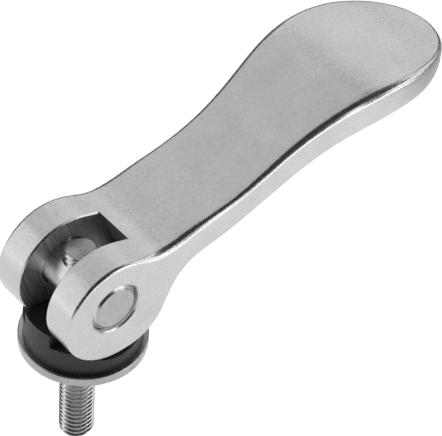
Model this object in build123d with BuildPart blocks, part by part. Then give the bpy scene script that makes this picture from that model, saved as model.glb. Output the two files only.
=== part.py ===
from build123d import *
import math
import os

# Cam lever with a threaded stud.
#
# The frame: the origin is on the stud's axis at the clamping face, which is the underside of
# the steel washer. +Z runs up the stud, +X along the closed handle and Y along the cross pin.
# All sizes are in millimetres, with the lever closed.

# ---- Stud -------------------------------------------------------------------------------
thread_diameter = 6.0      # M6
thread_pitch = 1.0
shank_diameter = 5.5       # plain, through the washers and the cross pin
stud_reach = 21.0          # free thread below the clamping face
stud_proud = 1.15          # how far the stud's top stands above the pin
stud_chamfer = 0.6         # at the thread's free end
stud_top_chamfer = 0.2

# ---- Cross pin --------------------------------------------------------------------------
pin_diameter = 8.8
pin_chamfer = 0.85
pin_recess = 0.15          # each end lies this far inside the fork's outer face
shank_hole_play = 0.05     # radial, between the shank and the pin's hole
centre_mark_diameter = 0.5
centre_mark_depth = 0.06

# ---- Washers ----------------------------------------------------------------------------
washer_diameter = 21.4
washer_thickness = 1.8
washer_edge_radius = 0.25
thrust_diameter = 19.64
saddle_floor = 2.6         # plastic left under the deepest line of the saddle
saddle_radius = 14.0
saddle_depth = 1.95        # from the flat shoulders down to that line
guide_width = 6.46         # block that stands in the fork's slot and keeps the washer square
guide_height = 2.6         # above the shoulders
guide_edge_radius = 0.2    # along the top of that block
bore_play = 0.2            # least radial gap between the washers' bore and the thread
washer_shift = 1.0         # the pair lies off the stud's axis, under the cam's line of contact

# ---- Cam and fork -----------------------------------------------------------------------
cam_drop = 10.75           # pin axis to the cam's surface straight below it, lever closed
cam_rise = 0.0168          # growth of the cam's radius, in mm per degree
cam_start_angle = 165.0    # degrees: where the spiral starts, from +X towards +Z
cam_end_angle = 303.0      # degrees: where it ends, at the heel
cam_gap = 0.1              # between the cam and the saddle
fork_width = 18.9
cheek_x = 6.2              # the fork's outer faces are flat as far as this, then taper in
slot_width = 7.2
slot_depth = 8.25          # pin axis to the slot's end wall, along the handle
slot_edge_break = 0.25     # chamfer along the slot's outer edges
handle_angle = 17.5        # degrees: of the handle's own direction above +X
bore_play_pin = 0.05       # radial running clearance of the pin
bore_chamfer = 0.25

# ---- Handle -----------------------------------------------------------------------------
# Stations along X from the pin's axis, and heights above it.
# Top line, from the back of the ears to the tip:
ear_back_x = -3.6
ear_back_height = 7.75
ear_top_x = 2.0
ear_top_height = 8.35
dip_x = 8.5
dip_height = 6.8
neck_x = 15.5
neck_height = 7.85
neck_top_x = 24.4
neck_top_height = 9.8
climb_x = 30.5
climb_height = 12.3
climb_top_x = 37.4
climb_top_height = 16.05
crown_start_x = 46.1
crown_start_height = 19.75
crown_x = 53.5
crown_height = 20.7
crown_end_x = 61.0
crown_end_height = 20.15
tip_x = 72.45
tip_height = 18.2
# Underside, from the cam's heel to the tip:
heel_x = 8.7
heel_height = -7.4
throat_x = 11.1
throat_height = -2.9
shelf_start_x = 14.0
shelf_start_height = 0.9
shelf_x = 20.2
shelf_height = 2.85
under_neck_x = 27.0
under_neck_height = 4.9
climb_under_x = 34.0
climb_under_height = 7.95
belly_start_x = 43.0
belly_start_height = 12.6
belly_x = 56.0
belly_height = 14.85
belly_end_x = 64.0
belly_end_height = 15.05
tip_under_height = 16.05
# Outline from above:
neck_width = 18.46
waist_x = 27.0
waist_width = 18.2
flare_start_x = 34.0
flare_start_width = 18.7
flare_x = 40.2
flare_width = 20.7
grip_start_x = 47.5
grip_start_width = 23.45
grip_x = 55.2
grip_width = 24.3
grip_end_x = 61.5
grip_end_width = 22.45
tip_corner_x = 66.6
tip_corner_width = 18.2
tip_flank_x = 70.2
tip_flank_width = 12.25
edge_radius = 0.6

# ---- Worked out from the sizes above ----------------------------------------------------
thread_radius = thread_diameter / 2
thread_depth = 0.6134 * thread_pitch
groove_mouth = 7 / 8 * thread_pitch
groove_root = thread_pitch / 6
shank_radius = shank_diameter / 2
pin_radius = pin_diameter / 2
degrees_per_radian = math.degrees(1)
cam_rise_per_radian = cam_rise * degrees_per_radian
# A spiral's lowest point stands a little further from the pin than the point straight below.
cam_support = cam_drop + cam_rise_per_radian ** 2 / (2 * cam_drop)
floor_z = washer_thickness + saddle_floor
shoulder_z = floor_z + saddle_depth
guide_top_z = shoulder_z + guide_height
pin_z = floor_z + cam_gap + cam_support
stud_top_z = pin_z + pin_radius + stud_proud
bore_radius = thread_radius + washer_shift + bore_play
fork_front = -2 * cam_drop
beyond_tip = tip_x + 2 * edge_radius


def cam_point(angle):
    """The cam's surface at an angle from +X towards +Z, as (x, z) from the pin's axis."""
    radius = cam_drop + cam_rise * (angle - 270)
    return (radius * math.cos(math.radians(angle)), radius * math.sin(math.radians(angle)))


def cam_direction(angle):
    """The direction in which the cam's surface runs at that angle."""
    ahead = cam_point(angle + 0.5)
    behind = cam_point(angle - 0.5)
    return (ahead[0] - behind[0], ahead[1] - behind[1])


# Sketches of the side view are drawn as (x, height above the pin) and face -Y. They start
# on the +Y side of the lever, so that one extrusion goes right through it.
side_plane = Plane(origin=(0, grip_width, pin_z), x_dir=(1, 0, 0), z_dir=(0, -1, 0))
pin_plane = Plane(origin=(0, 0, pin_z), x_dir=(1, 0, 0), z_dir=(0, -1, 0))


# ---- Lever: one casting, fork and handle ------------------------------------------------
with BuildPart() as lever:
    # The outline from above, drawn as its +Y half and mirrored.
    with BuildSketch(Plane.XY.offset(pin_z - 2 * cam_drop)):
        with BuildLine():
            half_fork = fork_width / 2
            Line((fork_front, 0), (fork_front, half_fork))
            Line((fork_front, half_fork), (cheek_x, half_fork))
            Spline(
                (cheek_x, half_fork),
                (neck_x, neck_width / 2),
                (waist_x, waist_width / 2),
                (flare_start_x, flare_start_width / 2),
                (flare_x, flare_width / 2),
                (grip_start_x, grip_start_width / 2),
                (grip_x, grip_width / 2),
                (grip_end_x, grip_end_width / 2),
                (tip_corner_x, tip_corner_width / 2),
                (tip_flank_x, tip_flank_width / 2),
                (tip_x, 0),
                tangents=[(1, 0), (0, -1)],
                tangent_scalars=[1, 1],
            )
            mirror(about=Plane.XZ)
        make_face()
    extrude(amount=2 * cam_drop + 2 * crown_height)

    # The side view: the cam's spiral, the handle's top line and its underside.
    with BuildSketch(side_plane):
        with BuildLine():
            spiral_sweep = cam_end_angle - cam_start_angle
            spiral_angles = [cam_start_angle + spiral_sweep * i / 12 for i in range(13)]
            Spline(
                *[cam_point(angle) for angle in spiral_angles],
                tangents=[cam_direction(cam_start_angle), cam_direction(cam_end_angle)],
                tangent_scalars=[1, 1],
            )
            top_line = Spline(
                (beyond_tip, tip_height),
                (crown_end_x, crown_end_height),
                (crown_x, crown_height),
                (crown_start_x, crown_start_height),
                (climb_top_x, climb_top_height),
                (climb_x, climb_height),
                (neck_top_x, neck_top_height),
                (neck_x, neck_height),
                (dip_x, dip_height),
                (ear_top_x, ear_top_height),
                (ear_back_x, ear_back_height),
                cam_point(cam_start_angle),
                tangents=[(-1, 0.1), cam_direction(cam_start_angle)],
                tangent_scalars=[1, 1],
            )
            heel_arc = TangentArc(
                cam_point(cam_end_angle),
                (heel_x, heel_height),
                tangent=cam_direction(cam_end_angle),
            )
            underside = Spline(
                (heel_x, heel_height),
                (throat_x, throat_height),
                (shelf_start_x, shelf_start_height),
                (shelf_x, shelf_height),
                (under_neck_x, under_neck_height),
                (climb_under_x, climb_under_height),
                (belly_start_x, belly_start_height),
                (belly_x, belly_height),
                (belly_end_x, belly_end_height),
                (beyond_tip, tip_under_height),
                tangents=[heel_arc % 1, (1, 0)],
                tangent_scalars=[1, 1],
            )
            Line(underside @ 1, top_line @ 0)
        make_face()
    extrude(amount=2 * grip_width, mode=Mode.INTERSECT)

    # The cast edges are softened all round before the slot and the bore are machined.
    # The straight ones are seams between tangent faces and stay.
    outer_edges = lever.edges().filter_by(GeomType.LINE, reverse=True)
    fillet(outer_edges, radius=edge_radius)

    # The slot between the fork's ears ends in a wall square to the handle.
    slot_plane = Plane(
        origin=(0, 0, pin_z),
        x_dir=(math.cos(math.radians(handle_angle)), 0, math.sin(math.radians(handle_angle))),
        z_dir=(0, -1, 0),
    )
    with BuildSketch(slot_plane):
        with Locations((slot_depth - 2 * cam_drop, 0)):
            Rectangle(4 * cam_drop, 6 * cam_drop)
    extrude(amount=slot_width / 2, both=True, mode=Mode.SUBTRACT)
    for wall_y in (-slot_width / 2, slot_width / 2):
        wall_edges = lever.edges().filter_by_position(Axis.Y, wall_y, wall_y)
        chamfer(wall_edges.filter_by(GeomType.LINE, reverse=True), length=slot_edge_break)

    # The cross bore, with a small countersink at each face that it breaks.
    with BuildSketch(pin_plane):
        Circle(pin_radius + bore_play_pin)
    extrude(amount=fork_width, both=True, mode=Mode.SUBTRACT)
    bored_faces = [face for face in lever.faces().filter_by(Axis.Y) if face.inner_wires()]
    chamfer([face.inner_wires()[0].edge() for face in bored_faces], length=bore_chamfer)
lever.part.label = "lever"
export_step(lever.part, "parts/lever.step")


# ---- Cross pin: a turned barrel with a cross hole for the stud ---------------------------
pin_length = fork_width - 2 * pin_recess
with BuildPart() as cross_pin:
    with BuildSketch(pin_plane):
        Circle(pin_radius)
    extrude(amount=pin_length / 2, both=True)
    chamfer(cross_pin.edges().filter_by(GeomType.CIRCLE), length=pin_chamfer)
    with BuildSketch(Plane.XY.offset(pin_z)):
        Circle(shank_radius + shank_hole_play)
    extrude(amount=pin_radius, both=True, mode=Mode.SUBTRACT)
    # A centre mark is left in each end face from turning.
    for end in (-1, 1):
        end_plane = Plane(
            origin=(0, end * pin_length / 2, pin_z), x_dir=(1, 0, 0), z_dir=(0, end, 0)
        )
        with BuildSketch(end_plane):
            Circle(centre_mark_diameter / 2)
        extrude(amount=-centre_mark_depth, taper=45, mode=Mode.SUBTRACT)
cross_pin.part.label = "cross_pin"
export_step(cross_pin.part, "parts/cross_pin.step")


# ---- Stud: thread below the washers, plain shank through them and the pin ---------------
# The thread is a row of rings one pitch apart, as seen from the side, and not a helix.
with BuildPart() as stud:
    with BuildSketch(Plane.XZ):
        with BuildLine():
            Polyline(
                (0, -stud_reach),
                (thread_radius - stud_chamfer, -stud_reach),
                (thread_radius, -stud_reach + stud_chamfer),
                (thread_radius, 0),
                (shank_radius, thread_radius - shank_radius),
                (shank_radius, stud_top_z - stud_top_chamfer),
                (shank_radius - stud_top_chamfer, stud_top_z),
                (0, stud_top_z),
                close=True,
            )
        make_face()
    revolve(axis=Axis.Z)
    with BuildSketch(Plane.XZ):
        turns = range(int(stud_reach / thread_pitch))
        with Locations(*[(thread_radius, -thread_pitch * (turn + 0.5)) for turn in turns]):
            Polygon(
                (-thread_depth, -groove_root / 2),
                (0, -groove_mouth / 2),
                (thread_depth, -groove_mouth / 2),
                (thread_depth, groove_mouth / 2),
                (0, groove_mouth / 2),
                (-thread_depth, groove_root / 2),
                align=None,
            )
    revolve(axis=Axis.Z, mode=Mode.SUBTRACT)
stud.part.label = "stud"
export_step(stud.part, "parts/stud.step")


# ---- Washers ----------------------------------------------------------------------------
washer_axis = (washer_shift, 0)

with BuildPart() as washer:
    with BuildSketch(Plane.XY):
        with Locations(washer_axis):
            Circle(washer_diameter / 2)
    extrude(amount=washer_thickness)
    fillet(washer.edges(), radius=washer_edge_radius)
    with BuildSketch(Plane.XY):
        with Locations(washer_axis):
            Circle(bore_radius)
    extrude(amount=washer_thickness, mode=Mode.SUBTRACT)
washer.part.label = "washer"
export_step(washer.part, "parts/washer.step")

# The plastic thrust washer is a disc with a saddle for the cams and a guide block across it.
with BuildPart() as thrust_washer:
    with BuildSketch(Plane.XY.offset(washer_thickness)):
        with Locations(washer_axis):
            Circle(thrust_diameter / 2)
    extrude(amount=guide_top_z - washer_thickness)
    # Everything beside the guide block is cut down to the shoulders and the saddle.
    saddle_plane = Plane(
        origin=(washer_shift, -guide_width / 2, 0), x_dir=(1, 0, 0), z_dir=(0, -1, 0)
    )
    with BuildSketch(saddle_plane):
        with Locations((0, shoulder_z)):
            Rectangle(thrust_diameter * 2, guide_top_z, align=(Align.CENTER, Align.MIN))
        with Locations((0, floor_z + saddle_radius)):
            Circle(saddle_radius)
    extrude(amount=thrust_diameter, mode=Mode.SUBTRACT)
    mirror(about=Plane.XZ, mode=Mode.INTERSECT)
    with BuildSketch(Plane.XY.offset(washer_thickness)):
        with Locations(washer_axis):
            Circle(bore_radius)
    extrude(amount=guide_top_z, mode=Mode.SUBTRACT)
    guide_edges = thrust_washer.edges().filter_by_position(Axis.Z, guide_top_z, guide_top_z)
    fillet(guide_edges.filter_by(Axis.X), radius=guide_edge_radius)
thrust_washer.part.label = "thrust_washer"
export_step(thrust_washer.part, "parts/thrust_washer.step")
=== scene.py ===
import bisect
import math

import bmesh
import bpy
from mathutils import Matrix, Vector
from mathutils.bvhtree import BVHTree
from mathutils.geometry import barycentric_transform


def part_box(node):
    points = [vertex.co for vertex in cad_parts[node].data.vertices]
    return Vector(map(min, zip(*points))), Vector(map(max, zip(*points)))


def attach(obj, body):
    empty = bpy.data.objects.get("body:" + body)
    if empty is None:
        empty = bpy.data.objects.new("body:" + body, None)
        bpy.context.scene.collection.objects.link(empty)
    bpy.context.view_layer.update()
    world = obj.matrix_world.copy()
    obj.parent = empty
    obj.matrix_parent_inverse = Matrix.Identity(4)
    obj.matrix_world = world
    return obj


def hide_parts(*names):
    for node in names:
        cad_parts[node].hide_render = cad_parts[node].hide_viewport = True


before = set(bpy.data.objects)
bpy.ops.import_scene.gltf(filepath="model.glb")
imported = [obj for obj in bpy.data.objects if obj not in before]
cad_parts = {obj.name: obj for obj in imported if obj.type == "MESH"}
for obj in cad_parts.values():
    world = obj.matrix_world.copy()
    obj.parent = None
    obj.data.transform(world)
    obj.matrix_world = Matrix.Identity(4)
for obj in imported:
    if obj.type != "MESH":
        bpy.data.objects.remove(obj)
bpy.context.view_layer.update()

MM = 0.001


# ---------------------------------------------------------------- camera
CAMERA_PLACE = Vector((-145.58, -187.79, 254.22)) * MM
CAMERA_AXES = (                      # the camera's right, up and back, in the frame's axes
    (0.7695, -0.6355, 0.0625),
    (0.4038, 0.5601, 0.7233),
    (-0.4947, -0.5314, 0.6877),
)
CAMERA_LENS = 173.68

cam_data = bpy.data.cameras.new("camera")
cam = bpy.data.objects.new("camera", cam_data)
bpy.context.scene.collection.objects.link(cam)
cam.matrix_world = Matrix.Translation(CAMERA_PLACE) @ Matrix(CAMERA_AXES).transposed().to_4x4()
cam_data.sensor_fit = "HORIZONTAL"
cam_data.sensor_width = 36.0
cam_data.lens = CAMERA_LENS
cam_data.clip_start = 0.01
cam_data.clip_end = 20.0
bpy.context.scene.camera = cam


# ---------------------------------------------------------------- node helpers
def new_material(name):
    material = bpy.data.materials.new(name)
    material.use_nodes = True
    nodes = material.node_tree.nodes
    shader = nodes["Principled BSDF"]
    return material, nodes, material.node_tree.links, shader


def texture_place(nodes, links, scale=(1, 1, 1)):
    """Object coordinates, in metres, stretched by scale."""
    coordinates = nodes.new("ShaderNodeTexCoord")
    mapping = nodes.new("ShaderNodeMapping")
    mapping.inputs["Scale"].default_value = scale
    links.new(coordinates.outputs["Object"], mapping.inputs["Vector"])
    return mapping.outputs["Vector"]


def noise(nodes, links, place, scale, detail=3.0, roughness=0.55):
    texture = nodes.new("ShaderNodeTexNoise")
    texture.inputs["Scale"].default_value = scale
    texture.inputs["Detail"].default_value = detail
    texture.inputs["Roughness"].default_value = roughness
    links.new(place, texture.inputs["Vector"])
    return texture.outputs["Fac"]


def spread(nodes, links, value, low, high, from_low=0.3, from_high=0.7):
    """Maps a noise value to the range low to high."""
    node = nodes.new("ShaderNodeMapRange")
    node.inputs["From Min"].default_value = from_low
    node.inputs["From Max"].default_value = from_high
    node.inputs["To Min"].default_value = low
    node.inputs["To Max"].default_value = high
    links.new(value, node.inputs["Value"])
    return node.outputs["Result"]


def two_tones(nodes, links, value, dark, light):
    ramp = nodes.new("ShaderNodeValToRGB")
    ramp.color_ramp.elements[0].position = 0.3
    ramp.color_ramp.elements[0].color = (*dark, 1)
    ramp.color_ramp.elements[1].position = 0.7
    ramp.color_ramp.elements[1].color = (*light, 1)
    links.new(value, ramp.inputs["Fac"])
    return ramp.outputs["Color"]


def bump(nodes, links, height, strength, distance, after=None):
    node = nodes.new("ShaderNodeBump")
    node.inputs["Strength"].default_value = strength
    node.inputs["Distance"].default_value = distance
    links.new(height, node.inputs["Height"])
    if after is not None:
        links.new(after, node.inputs["Normal"])
    return node.outputs["Normal"]


# ---------------------------------------------------------------- materials
pin_low, pin_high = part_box("cross_pin")
PIN_AXIS = (0, 0, (pin_low.z + pin_high.z) / 2)
CAST_TONES = ((0.58, 0.58, 0.575), (0.64, 0.64, 0.635))
MILLED_TONES = ((0.42, 0.418, 0.41), (0.88, 0.875, 0.86))
WASHER_TONES = ((0.38, 0.375, 0.37), (0.46, 0.455, 0.445))
ROLLED_TONES = ((0.52, 0.515, 0.505), (0.64, 0.635, 0.625))
BARREL_TONES = ((0.62, 0.615, 0.605), (0.74, 0.735, 0.725))
# the stud's end faces are painted darker than its thread: painted shade
STUD_END_PAINTED_DARK_TONES = ((0.32, 0.315, 0.31), (0.42, 0.415, 0.405))
PLASTIC_TONES = ((0.010, 0.010, 0.0105), (0.018, 0.018, 0.0185))
SLOT_LEAN = math.radians(17.5)       # of the slot's end wall, from upright
MARK_STRETCH = (1.0, 0.3, 0.03)      # the cutter marks run along the last axis
WAVE_RINGS = 10 / math.pi            # rings per metre in Blender's wave texture at scale 1
PIN_RINGS = ("Y", PIN_AXIS, 0.987 * MM, 0.2)         # axis, centre, spacing and strength
STUD_RINGS = ("Z", (0, 0, 0), 0.553 * MM, 1.0)
# painted shade on the pin's end faces, darkened in colour rather than by light
PIN_END_PAINTED_SHADE = 0.66                 # the pin's end faces are this much darker than its barrel
PIN_END_FROM = pin_high.y - 0.3 * MM
END_BLEND = 0.2 * MM


def cast_steel():
    """Blasted stainless casting: satin grey with a fine pebbled skin."""
    material, nodes, links, shader = new_material("cast_steel")
    place = texture_place(nodes, links)
    pebbles = noise(nodes, links, place, scale=1700.0, detail=2.0)
    broad = noise(nodes, links, place, scale=160.0, detail=3.0)
    normal = bump(nodes, links, pebbles, strength=0.32, distance=0.06 * MM)
    shader.inputs["Metallic"].default_value = 1.0
    links.new(two_tones(nodes, links, broad, *CAST_TONES), shader.inputs["Base Color"])
    links.new(spread(nodes, links, pebbles, low=0.22, high=0.32), shader.inputs["Roughness"])
    links.new(normal, shader.inputs["Normal"])
    return material


def rings_about(nodes, links, place, axis, spacing):
    """0 to 1 in rings about an axis through the origin of place, a spacing apart."""
    wave = nodes.new("ShaderNodeTexWave")
    wave.wave_type = "RINGS"
    wave.rings_direction = axis
    wave.wave_profile = "SIN"
    wave.inputs["Scale"].default_value = 1 / (spacing * WAVE_RINGS)
    wave.inputs["Distortion"].default_value = 0.2
    wave.inputs["Detail"].default_value = 2.0
    wave.inputs["Detail Scale"].default_value = 2.0
    links.new(place, wave.inputs["Vector"])
    return wave.outputs["Fac"]


def paint_shade_on_ends(nodes, links, place, colour, shade, start):
    """Painted shade: the colour times shade where Y lies more than start away from the middle."""
    parts = nodes.new("ShaderNodeSeparateXYZ")
    links.new(place, parts.inputs["Vector"])
    away = nodes.new("ShaderNodeMath")
    away.operation = "ABSOLUTE"
    links.new(parts.outputs["Y"], away.inputs[0])
    share = spread(nodes, links, away.outputs[0], 1.0, shade, start, start + END_BLEND)
    scaled = nodes.new("ShaderNodeVectorMath")
    scaled.operation = "SCALE"
    links.new(colour, scaled.inputs[0])
    links.new(share, scaled.inputs["Scale"])
    return scaled.outputs["Vector"]


def machined_steel(name, tones, roughness, rings=None, end_painted_shade=1.0, end_from=0.0):
    """Bright turned or rolled steel, with turning marks where rings are given, and painted shade
    on the faces past end_from.
    """
    material, nodes, links, shader = new_material(name)
    place = texture_place(nodes, links)
    fine = noise(nodes, links, place, scale=1500.0, detail=2.0)
    broad = noise(nodes, links, place, scale=350.0, detail=2.0)
    shader.inputs["Metallic"].default_value = 1.0
    colour = two_tones(nodes, links, broad, *tones)
    if end_painted_shade < 1.0:
        colour = paint_shade_on_ends(nodes, links, place, colour, end_painted_shade, end_from)
    links.new(colour, shader.inputs["Base Color"])
    links.new(spread(nodes, links, fine, *roughness), shader.inputs["Roughness"])
    normal = bump(nodes, links, fine, strength=0.08, distance=0.03 * MM)
    if rings is not None:
        axis, centre, spacing, strength = rings
        shift = nodes.new("ShaderNodeMapping")
        shift.inputs["Location"].default_value = tuple(-c for c in centre)
        links.new(place, shift.inputs["Vector"])
        marks = rings_about(nodes, links, shift.outputs["Vector"], axis, spacing)
        normal = bump(nodes, links, marks, strength=strength, distance=0.03 * MM, after=normal)
    links.new(normal, shader.inputs["Normal"])
    return material


def milled_steel():
    """Dark milled steel of the slot: fine cutter marks that lean with the slot's end wall."""
    material, nodes, links, shader = new_material("milled_steel")
    place = texture_place(nodes, links)
    lean = nodes.new("ShaderNodeMapping")
    lean.inputs["Rotation"].default_value = (0, SLOT_LEAN, 0)
    links.new(place, lean.inputs["Vector"])
    stretch = nodes.new("ShaderNodeMapping")
    stretch.inputs["Scale"].default_value = MARK_STRETCH
    links.new(lean.outputs["Vector"], stretch.inputs["Vector"])
    marks = noise(nodes, links, stretch.outputs["Vector"], scale=3600.0, detail=2.0, roughness=0.6)
    fine = noise(nodes, links, place, scale=1800.0, detail=2.0)
    normal = bump(nodes, links, marks, strength=0.5, distance=0.08 * MM)
    shader.inputs["Metallic"].default_value = 1.0
    links.new(two_tones(nodes, links, marks, *MILLED_TONES), shader.inputs["Base Color"])
    links.new(spread(nodes, links, fine, low=0.38, high=0.52), shader.inputs["Roughness"])
    links.new(normal, shader.inputs["Normal"])
    return material


def black_plastic():
    """Black moulded plastic with a dull, fine grain."""
    material, nodes, links, shader = new_material("black_plastic")
    place = texture_place(nodes, links)
    fine = noise(nodes, links, place, scale=1500.0, detail=3.0)
    normal = bump(nodes, links, fine, strength=0.3, distance=0.04 * MM)
    links.new(two_tones(nodes, links, fine, *PLASTIC_TONES), shader.inputs["Base Color"])
    links.new(spread(nodes, links, fine, low=0.42, high=0.58), shader.inputs["Roughness"])
    links.new(normal, shader.inputs["Normal"])
    return material


CAST = cast_steel()
MILLED = milled_steel()
TURNED = machined_steel("washer_steel", WASHER_TONES, (0.24, 0.34))
ROLLED = machined_steel("rolled_thread", ROLLED_TONES, (0.14, 0.22))
# the pin's end faces get painted shade
BARREL = machined_steel(
    "pin_steel", BARREL_TONES, (0.2, 0.3), PIN_RINGS, PIN_END_PAINTED_SHADE, PIN_END_FROM
)
# real turning rings on the stud's ends, with a darker tone that is painted shade
TURNED_END_PAINTED_DARK = machined_steel("stud_end", STUD_END_PAINTED_DARK_TONES, (0.28, 0.38), STUD_RINGS)
PLASTIC = black_plastic()


def dress(node, material):
    """Gives every slot of a CAD piece the material."""
    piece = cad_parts[node]
    for slot in piece.material_slots:
        slot.material = material


dress("cross_pin", BARREL)
dress("washer", TURNED)
dress("thrust_washer", PLASTIC)


# ---------------------------------------------------------------- lever with a varying edge radius
# The radius of the casting's top edges varies along it. The handle is lofted again here on the
# CAD's own top line, underside and outline. It is joined to the CAD's fork, whose top edges are
# rounded in place.
LOFT_FROM = 13.0 * MM
SEAM = 0.3 * MM                      # gap between the CAD's part and the loft, which is bridged
SLOT_HALF = 3.6 * MM
UNDER_ROUNDING = 0.6 * MM
ROUNDING = (                         # station along X and radius of the top edge, in mm
    (2.5, 0.6), (8.5, 1.3), (13, 1.3), (20, 0.95), (24, 0.9), (32, 1.05), (40, 1.2), (48, 1.3),
    (56, 1.2), (62, 1.0), (68, 0.85), (73, 0.8),
)
ROUNDED_FROM = 2.5 * MM
FORK_STATIONS = 4                    # of the table above, that the CAD's own part reaches
OUTLINE_STEP = 0.5 * MM
TRACE_STEP = 0.02 * MM               # for the outline's start and its direction
TIP_TURN = 14 * MM                   # the tip is sorted by angle about a point this far inside it
SAMPLE_MARGIN = 2 * MM               # samples start this far before the curve that they are for
FORK_INSIDE = (13 * MM, 7 * MM)      # faces nearer to the pin in X and Y are the slot's and bore's
LEAST_SPACING = 0.05 * MM            # between two samples of a line
WELD = 0.001 * MM
SLIVER = 0.0005 * MM
TOP_ARC_STEPS = 8
UNDER_ARC_STEPS = 4
WALL_STEPS = 4
ACROSS_STEPS = 10


def rounding(x):
    """Radius of the top edge at a station, with a smooth change between the table's own."""
    x = x / MM
    for (x0, r0), (x1, r1) in zip(ROUNDING, ROUNDING[1:]):
        if x <= x1:
            t = min(1.0, max(0.0, (x - x0) / (x1 - x0)))
            return (r0 + (r1 - r0) * t * t * (3 - 2 * t)) * MM
    return ROUNDING[-1][1] * MM


class Line:
    """A smooth curve through samples of one coordinate over another, straight past its ends."""

    def __init__(self, samples):
        self.at = []
        self.value = []
        for at, value in sorted(samples):
            if not self.at or at - self.at[-1] > LEAST_SPACING:
                self.at.append(at)
                self.value.append(value)
        last = len(self.at) - 1
        self.slope = []
        for i in range(last + 1):
            a, b = max(i - 1, 0), min(i + 1, last)
            self.slope.append((self.value[b] - self.value[a]) / (self.at[b] - self.at[a]))

    def span(self, x):
        """Number of the stretch between two samples that x lies in."""
        return min(max(bisect.bisect_right(self.at, x) - 1, 0), len(self.at) - 2)

    def __call__(self, x):
        if x >= self.at[-1]:
            return self.value[-1] + self.slope[-1] * (x - self.at[-1])
        i = self.span(x)
        width = self.at[i + 1] - self.at[i]
        t = (x - self.at[i]) / width
        return (
            self.value[i] * (1 + 2 * t) * (1 - t) ** 2
            + self.slope[i] * width * t * (1 - t) ** 2
            + self.value[i + 1] * t * t * (3 - 2 * t)
            + self.slope[i + 1] * width * t * t * (t - 1)
        )


def faces_up(face):
    """Whether a face is of the casting's top, and not of the bore."""
    return (
        face.center.x >= ROUNDED_FROM - SAMPLE_MARGIN
        and face.center.z >= PIN_AXIS[2]
        and abs(face.normal.y) <= 0.002
        and face.normal.z >= 0.5
    )


def faces_down(face):
    """Whether a face is of the handle's underside."""
    return (
        face.center.x >= LOFT_FROM - SAMPLE_MARGIN
        and abs(face.normal.y) <= 0.002
        and face.normal.z <= -0.5
    )


def faces_out(face):
    """Whether a face is of the casting's side walls."""
    inside_x, inside_y = FORK_INSIDE
    return (
        face.center.x >= ROUNDED_FROM - SAMPLE_MARGIN
        and abs(face.normal.z) <= 0.01
        and not (abs(face.center.x) < inside_x and abs(face.center.y) < inside_y)
    )


def corners_of(chosen):
    """Places of the corners of the CAD lever's faces that are chosen."""
    mesh = lever_cad.data
    return {
        tuple(mesh.vertices[corner].co)
        for face in mesh.polygons
        if chosen(face)
        for corner in face.vertices
    }


lever_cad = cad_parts["lever"]
TIP_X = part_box("lever")[1].x
FLAT_TO = TIP_X - 1.2 * UNDER_ROUNDING               # past it, the CAD's own tip fillet begins
top_line = Line([(x, z) for x, _, z in corners_of(faces_up) if x < FLAT_TO])
underside = Line([(x, z) for x, _, z in corners_of(faces_down) if x < FLAT_TO])


def outline_lines():
    """The outline's x and y, +Y half, over the length along it, and that length at the tip."""
    turn_x = TIP_X - TIP_TURN
    around = []
    for x, y in {(x, abs(y)) for x, y, _ in corners_of(faces_out)}:
        angle = math.atan2(y, x - turn_x) if x > turn_x else math.pi / 2
        around.append((-angle, x, y))
    around.sort()
    along = 0.0
    xs, ys = [], []
    before = None
    for _, x, y in around:
        if before is not None:
            along += math.dist((x, y), before)
        xs.append((along, x))
        ys.append((along, y))
        before = (x, y)
    return Line(xs), Line(ys), along


def outline():
    """Points and outward normals of the handle's outline, from the fork round to the tip."""
    x_line, y_line, along = outline_lines()
    start = 0.0
    while x_line(start) < LOFT_FROM:
        start += TRACE_STEP
    steps = int((along - start) / OUTLINE_STEP)
    points = []
    for step in range(steps + 1):
        s = start + (along - start) * step / steps
        ahead, behind = min(s + TRACE_STEP, along), s - TRACE_STEP
        dx = x_line(ahead) - x_line(behind)
        dy = y_line(ahead) - y_line(behind)
        size = math.hypot(dx, dy)
        points.append(((x_line(s), y_line(s)), (-dy / size, dx / size)))
    points[-1] = ((TIP_X, 0.0), (1.0, 0.0))
    return points


def half_section(place, normal):
    """One side of a section: (x, y, z) from the top's middle over the edge to the underside's."""
    radius = rounding(place[0])
    corners = []

    def inset(depth):
        return place[0] - normal[0] * depth, place[1] - normal[1] * depth

    x, y = inset(radius)
    for step in range(ACROSS_STEPS):
        corners.append((x, y * step / ACROSS_STEPS, top_line(x)))
    for step in range(TOP_ARC_STEPS + 1):
        angle = math.pi / 2 * step / TOP_ARC_STEPS
        x, y = inset(radius * (1 - math.sin(angle)))
        corners.append((x, y, top_line(x) - radius * (1 - math.cos(angle))))
    wall_top = corners[-1][2]
    wall_foot = underside(place[0]) + UNDER_ROUNDING
    for step in range(1, WALL_STEPS):
        corners.append((*place, wall_top + (wall_foot - wall_top) * step / WALL_STEPS))
    for step in range(UNDER_ARC_STEPS, -1, -1):
        angle = math.pi / 2 * step / UNDER_ARC_STEPS
        x, y = inset(UNDER_ROUNDING * (1 - math.sin(angle)))
        corners.append((x, y, underside(x) + UNDER_ROUNDING * (1 - math.cos(angle))))
    for step in range(ACROSS_STEPS - 1, -1, -1):
        corners.append((x, y * step / ACROSS_STEPS, underside(x)))
    return corners


def fork_half_width():
    """The casting's half width over x, from the fork to past the loft's start."""
    x_line, y_line, _ = outline_lines()
    step = 0.25 * MM
    return Line([(x_line(number * step), y_line(number * step)) for number in range(60)])


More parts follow.
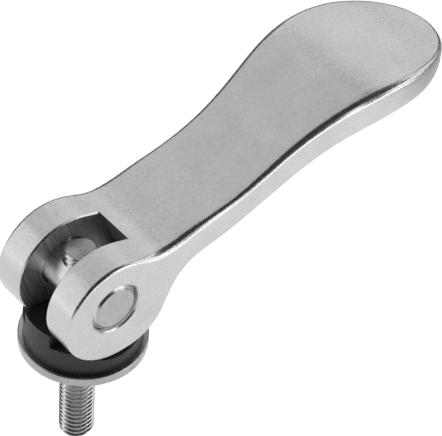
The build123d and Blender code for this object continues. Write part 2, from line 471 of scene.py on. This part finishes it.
def cut_corner_faces(bm, half_width):
    """Cuts the faces beside the top edges finely enough to be rounded."""
    reach = max(radius for _, radius in ROUNDING[:FORK_STATIONS]) * MM + 0.1 * MM

    def beside_edge(place):
        return (
            place.x > ROUNDED_FROM
            and abs(place.y) > half_width(place.x) - 2 * reach
            and place.z > top_line(place.x) - 2 * reach
        )

    def corner_faces():
        chosen = {
            face
            for face in bm.faces
            if abs(face.calc_center_median().y) > SLOT_HALF + 0.4 * MM
            and any(beside_edge(vertex.co) for vertex in face.verts)
        }
        edges = {edge for face in chosen for edge in face.edges}
        return list(chosen) + list(edges) + list({v for edge in edges for v in edge.verts})

    def cut(place, normal):
        bmesh.ops.bisect_plane(bm, geom=corner_faces(), plane_co=place, plane_no=normal)

    station = ROUNDED_FROM
    while station < LOFT_FROM - SEAM:
        cut((station, 0, 0), (1, 0, 0))
        station += 0.5 * MM
    widest = half_width(ROUNDED_FROM)
    for step in range(8):
        for side in (-1, 1):
            cut((0, side * (widest - step * 0.2 * MM), 0), (0, 1, 0))
    lowest = top_line(8.5 * MM) - 1.8 * MM           # the top line dips at that station
    for step in range(14):
        cut((0, 0, lowest + step * 0.25 * MM), (0, 0, 1))


def round_fork_edges(bm):
    """Rounds the top edges of the CAD's own part of the mesh as the table says."""
    half_width = fork_half_width()
    cut_corner_faces(bm, half_width)
    for vertex in bm.verts:
        x, y, z = vertex.co
        if x < ROUNDED_FROM:
            continue
        radius = rounding(x)
        depth, drop = half_width(x) - abs(y), top_line(x) - z
        if depth > radius or drop > radius:
            continue
        from_centre = math.hypot(radius - depth, radius - drop)
        if from_centre > radius:
            depth = radius - (radius - depth) * radius / from_centre
            drop = radius - (radius - drop) * radius / from_centre
            vertex.co = (x, math.copysign(half_width(x) - depth, y), top_line(x) - drop)


def cad_corner_normals(mesh, limit):
    """The CAD's own normals where mesh still lies on it, and none elsewhere or past the limit."""
    towards_middle = 0.02                            # so that a corner finds its own face
    on_surface = 0.004 * MM
    source = lever_cad.data
    tree = BVHTree.FromPolygons(
        [vertex.co for vertex in source.vertices], [face.vertices[:] for face in source.polygons]
    )
    own = [corner.vector.copy() for corner in source.corner_normals]
    normals = [Vector((0, 0, 0))] * len(mesh.loops)
    for face in mesh.polygons:
        if face.center.x > limit:
            continue
        for loop in face.loop_indices:
            corner = mesh.vertices[mesh.loops[loop].vertex_index].co
            near = corner.lerp(face.center, towards_middle)
            hit, _, found, away = tree.find_nearest(near)
            if away > on_surface:
                continue
            triangle = source.polygons[found]
            places = [source.vertices[v].co for v in triangle.vertices]
            ends = [own[i] for i in triangle.loop_indices]
            normals[loop] = barycentric_transform(hit, *places, *ends).normalized()
    return normals


def mark_slot(mesh):
    """Gives the walls of the fork's slot the second material."""
    for face in mesh.polygons:
        within = all(abs(mesh.vertices[v].co.y) < SLOT_HALF + 0.01 * MM for v in face.vertices)
        if within and face.center.x < LOFT_FROM - 2 * SEAM and face.normal.z < 0.6:
            face.material_index = 1


def rounded_lever():
    """The casting, from the CAD's fork and the lofted handle."""
    bm = bmesh.new()
    bm.from_mesh(lever_cad.data)
    bmesh.ops.remove_doubles(bm, verts=bm.verts, dist=WELD)
    bmesh.ops.bisect_plane(
        bm,
        geom=bm.verts[:] + bm.edges[:] + bm.faces[:],
        plane_co=(LOFT_FROM - SEAM, 0, 0),
        plane_no=(1, 0, 0),
        clear_outer=True,
    )
    round_fork_edges(bm)
    seam = [edge for edge in bm.edges if edge.is_boundary]
    sections = []
    for place, normal in outline():
        half = half_section(place, normal)
        other = [(x, -y, z) for x, y, z in reversed(half[1:-1])]
        sections.append([bm.verts.new(corner) for corner in half + other])
    for near, far in zip(sections, sections[1:]):
        for i in range(len(near)):
            ahead = (i + 1) % len(near)
            bm.faces.new((near[i], far[i], far[ahead], near[ahead]))
    first = sections[0]
    seam += [bm.edges.get((first[i], first[(i + 1) % len(first)])) for i in range(len(first))]
    bmesh.ops.bridge_loops(bm, edges=seam)
    bmesh.ops.remove_doubles(bm, verts=bm.verts, dist=WELD)
    bmesh.ops.dissolve_degenerate(bm, edges=bm.edges, dist=SLIVER)
    bmesh.ops.recalc_face_normals(bm, faces=bm.faces)
    for face in bm.faces:
        face.smooth = True
    mesh = bpy.data.meshes.new("rounded_lever")
    bm.to_mesh(mesh)
    bm.free()
    mesh.normals_split_custom_set(cad_corner_normals(mesh, LOFT_FROM))
    piece = bpy.data.objects.new("rounded_lever", mesh)
    bpy.context.scene.collection.objects.link(piece)
    mesh.materials.append(CAST)
    mesh.materials.append(MILLED)
    mark_slot(mesh)
    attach(piece, "lever")
    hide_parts("lever")


rounded_lever()


# ---------------------------------------------------------------- stud with its thread
PITCH = 1.0 * MM
THREAD_DEPTH = 0.61 * MM
HELD_THREAD_DEPTH = 0.4 * MM
CREST_SHARE = 0.1                    # of half a pitch, flat at the crest
FLANK_SHARE = 0.72                   # of half a pitch, taken up by a flank
RUN_OUT = 0.8 * MM                   # over which a thread fades into the shank
TURN_STEPS = 60
PITCH_STEPS = 12
SHANK_RADIUS = 2.75 * MM
CHAMFER = 0.6 * MM
TOP_CHAMFER = 0.2 * MM
END_RINGS = 6

stud_low, stud_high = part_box("stud")
CREST_RADIUS = (stud_high.x - stud_low.x) / 2


def groove(phase):
    """Depth of the groove, 0 to 1, over one pitch: 60 degree flanks with flats between them."""
    from_crest = 1 - abs(phase - 0.5) * 2
    return min(1.0, max(0.0, (from_crest - CREST_SHARE) / FLANK_SHARE))


def stud_radius(z, angle):
    """Radius of the stud's surface at a height and an angle: a right-handed thread."""
    phase = (z / PITCH - angle / (2 * math.pi)) % 1.0
    threaded = CREST_RADIUS - THREAD_DEPTH * groove(phase)
    held = SHANK_RADIUS - HELD_THREAD_DEPTH * groove(phase)
    run_out = min(1.0, max(0.0, -z / RUN_OUT))
    run_in = min(1.0, max(0.0, (z - pin_low.z) / RUN_OUT))
    if z < pin_low.z:
        radius = SHANK_RADIUS + (threaded - SHANK_RADIUS) * run_out
    else:
        radius = SHANK_RADIUS + (held - SHANK_RADIUS) * run_in
    radius = min(radius, CREST_RADIUS - CHAMFER + (z - stud_low.z))
    return min(radius, SHANK_RADIUS - TOP_CHAMFER + (stud_high.z - z))


def close_end(bm, ring, z):
    """Closes an end with rings towards its middle."""
    outer = ring
    for step in range(1, END_RINGS):
        share = 1 - step / END_RINGS
        inner = [bm.verts.new((v.co.x * share, v.co.y * share, z)) for v in ring]
        for i in range(TURN_STEPS):
            ahead = (i + 1) % TURN_STEPS
            bm.faces.new((outer[i], outer[ahead], inner[ahead], inner[i]))
        outer = inner
    middle = bm.verts.new((0, 0, z))
    for i in range(TURN_STEPS):
        bm.faces.new((outer[i], outer[(i + 1) % TURN_STEPS], middle))


def threaded_stud():
    """The stud with helical threads, and its end faces in a second material."""
    bm = bmesh.new()
    rows = int(round((stud_high.z - stud_low.z) / PITCH * PITCH_STEPS))
    rings = []
    for row in range(rows + 1):
        z = stud_low.z + (stud_high.z - stud_low.z) * row / rows
        ring = []
        for step in range(TURN_STEPS):
            angle = 2 * math.pi * step / TURN_STEPS
            radius = stud_radius(z, angle)
            ring.append(bm.verts.new((radius * math.cos(angle), radius * math.sin(angle), z)))
        rings.append(ring)
    for below, above in zip(rings, rings[1:]):
        for step in range(TURN_STEPS):
            ahead = (step + 1) % TURN_STEPS
            bm.faces.new((below[step], below[ahead], above[ahead], above[step]))
    flank_count = len(bm.faces)
    close_end(bm, rings[-1], stud_high.z)
    close_end(bm, rings[0], stud_low.z)
    bmesh.ops.recalc_face_normals(bm, faces=bm.faces)
    for number, face in enumerate(bm.faces):
        face.smooth = True
        face.material_index = 0 if number < flank_count else 1
    for edge in bm.edges:
        edge.smooth = len({face.material_index for face in edge.link_faces}) == 1
    mesh = bpy.data.meshes.new("threaded_stud")
    bm.to_mesh(mesh)
    bm.free()
    piece = bpy.data.objects.new("threaded_stud", mesh)
    bpy.context.scene.collection.objects.link(piece)
    mesh.materials.append(ROLLED)
    mesh.materials.append(TURNED_END_PAINTED_DARK)
    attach(piece, "spindle")
    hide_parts("stud")


threaded_stud()


# ---------------------------------------------------------------- floor and light
FLOOR_SHARE = 0.75                   # brightness of the white under the part
WHITE_FROM = 1.6                     # the floor is fully white this far from the origin
MIRROR_SHARE = 0.86                  # of that white, seen in the part's own reflections
SIDE_SHARE = 0.15                    # the same beyond the handle's tip
SIDE_START, SIDE_END = 0.1, 0.14     # between these X the one passes into the other
FLOOR_HALF = 2.0
FLOOR_Z = stud_low.z - 0.2 * MM


def ray_kind(nodes, kind):
    """1 for rays of the kind that is named, and 0 for the rest."""
    return nodes.new("ShaderNodeLightPath").outputs[kind]


def floor_material():
    """A lit diffuse floor, made up to white for the camera and for mirror rays."""
    material, nodes, links, shader = new_material("floor_white")
    nodes.remove(shader)
    diffuse = nodes.new("ShaderNodeBsdfDiffuse")
    diffuse.inputs["Color"].default_value = (0.9, 0.9, 0.9, 1)
    white = nodes.new("ShaderNodeEmission")
    white.inputs["Color"].default_value = (1, 1, 1, 1)
    coordinates = nodes.new("ShaderNodeTexCoord")
    reach = nodes.new("ShaderNodeVectorMath")
    reach.operation = "LENGTH"
    links.new(coordinates.outputs["Object"], reach.inputs[0])
    rise = nodes.new("ShaderNodeMapRange")
    rise.inputs["From Min"].default_value = 0.0
    rise.inputs["From Max"].default_value = WHITE_FROM
    rise.inputs["To Min"].default_value = FLOOR_SHARE
    rise.inputs["To Max"].default_value = 1.0
    links.new(reach.outputs["Value"], rise.inputs["Value"])
    strength = nodes.new("ShaderNodeMath")
    strength.operation = "MULTIPLY"
    links.new(rise.outputs["Result"], strength.inputs[0])
    parts = nodes.new("ShaderNodeSeparateXYZ")
    links.new(coordinates.outputs["Object"], parts.inputs["Vector"])
    side_share = spread(
        nodes, links, parts.outputs["X"], MIRROR_SHARE, SIDE_SHARE, SIDE_START, SIDE_END
    )
    mirrored = nodes.new("ShaderNodeMath")
    mirrored.operation = "MULTIPLY"
    links.new(ray_kind(nodes, "Is Glossy Ray"), mirrored.inputs[0])
    links.new(side_share, mirrored.inputs[1])
    seen = nodes.new("ShaderNodeMath")
    seen.operation = "MAXIMUM"
    links.new(ray_kind(nodes, "Is Camera Ray"), seen.inputs[0])
    links.new(mirrored.outputs[0], seen.inputs[1])
    links.new(seen.outputs[0], strength.inputs[1])
    links.new(strength.outputs[0], white.inputs["Strength"])
    both = nodes.new("ShaderNodeAddShader")
    links.new(diffuse.outputs[0], both.inputs[0])
    links.new(white.outputs[0], both.inputs[1])
    links.new(both.outputs[0], nodes["Material Output"].inputs["Surface"])
    return material


floor_mesh = bpy.data.meshes.new("floor")
floor_corners = [
    (x * FLOOR_HALF, y * FLOOR_HALF, FLOOR_Z) for x, y in ((-1, -1), (1, -1), (1, 1), (-1, 1))
]
floor_mesh.from_pydata(floor_corners, [], [(0, 1, 2, 3)])
floor = bpy.data.objects.new("floor", floor_mesh)
bpy.context.scene.collection.objects.link(floor)
floor_mesh.materials.append(floor_material())


LIGHT_AIM = Vector((0.02, 0, 0.01))


def softbox(name, towards, distance, width, height, brightness):
    """An area light, seen from the part in the direction towards. Brightness 1 is white."""
    data = bpy.data.lights.new(name, "AREA")
    data.shape = "RECTANGLE"
    data.size = width
    data.size_y = height
    data.energy = brightness * math.pi * width * height
    lamp = bpy.data.objects.new(name, data)
    bpy.context.scene.collection.objects.link(lamp)
    direction = Vector(towards).normalized()
    lamp.location = LIGHT_AIM + direction * distance
    lamp.rotation_mode = "QUATERNION"
    lamp.rotation_quaternion = (-direction).to_track_quat("-Z", "Y")
    lamp.visible_camera = False


softbox("back_light", (-0.1, 0.6, 0.8), 0.9, 0.8, 0.6, 0.72)
softbox("back_right_light", (0.62, 0.55, 0.55), 0.9, 0.6, 0.6, 0.92)
softbox("left_light", (-0.82, 0.47, 0.33), 0.9, 0.7, 0.85, 1.05)
softbox("right_light", (0.72, -0.6, 0.34), 0.9, 0.65, 0.36, 1.6)
softbox("neck_light", (0.03, -0.093, 0.054), 0.112, 0.024, 0.06, 1.7)
softbox("tip_light", (0.86, -0.05, 0.5), 0.9, 0.36, 0.6, 1.3)
softbox("front_strip", (0.35, -0.93, 0.0), 0.28, 0.36, 0.065, 2.3)


def surroundings():
    """A faint even light, and a white backdrop that only the camera sees."""
    world = bpy.data.worlds.new("world")
    bpy.context.scene.world = world
    world.use_nodes = True
    nodes = world.node_tree.nodes
    links = world.node_tree.links
    sky = nodes["Background"]
    sky.inputs["Color"].default_value = (1, 1, 1, 1)
    sky.inputs["Strength"].default_value = 0.04
    backdrop = nodes.new("ShaderNodeBackground")
    backdrop.inputs["Color"].default_value = (1, 1, 1, 1)
    backdrop.inputs["Strength"].default_value = 1.0
    pick = nodes.new("ShaderNodeMixShader")
    links.new(ray_kind(nodes, "Is Camera Ray"), pick.inputs["Fac"])
    links.new(sky.outputs[0], pick.inputs[1])
    links.new(backdrop.outputs[0], pick.inputs[2])
    links.new(pick.outputs[0], nodes["World Output"].inputs["Surface"])


surroundings()
bpy.context.scene.view_settings.view_transform = "Standard"
